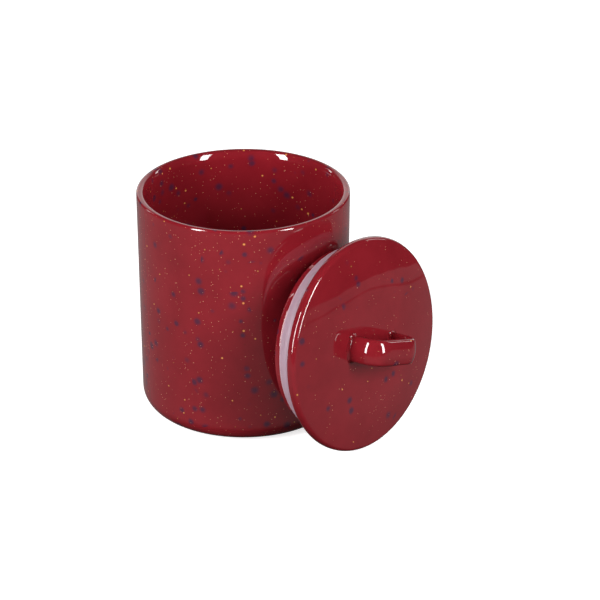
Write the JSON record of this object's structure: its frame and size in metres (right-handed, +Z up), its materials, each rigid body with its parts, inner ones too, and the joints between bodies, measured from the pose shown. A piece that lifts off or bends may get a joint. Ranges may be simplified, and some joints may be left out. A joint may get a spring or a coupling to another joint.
{
  "type": "lidded storage jar",
  "caption": "Glazed porcelain storage jar with a lift-off lid that leans against its side, a loop handle on the lid and a silicone seal round the lid's collar.",
  "frame": {"origin": "centre of the jar's foot, on the plane it stands on", "axes": "+Z up through the mouth, +X towards the lid that leans on the jar's side, +Y completes a right-handed set"},
  "size_m": [0.1446, 0.1028, 0.109],
  "materials": {
    "glaze": "glossy deep red reactive glaze with navy, gold and pale specks",
    "silicone": "frosted translucent silicone"
  },
  "bodies": {
    "jar": {"jar": "glaze"},
    "lid": {"lid": "glaze", "lid_handle": "glaze", "seal_ring": "silicone"}
  },
  "joints": [
    {"name": "lid_lift", "type": "slide", "parent": "jar", "child": "lid", "axis": [0, 0, 1], "range_m": [0, 0.12]}
  ]
}
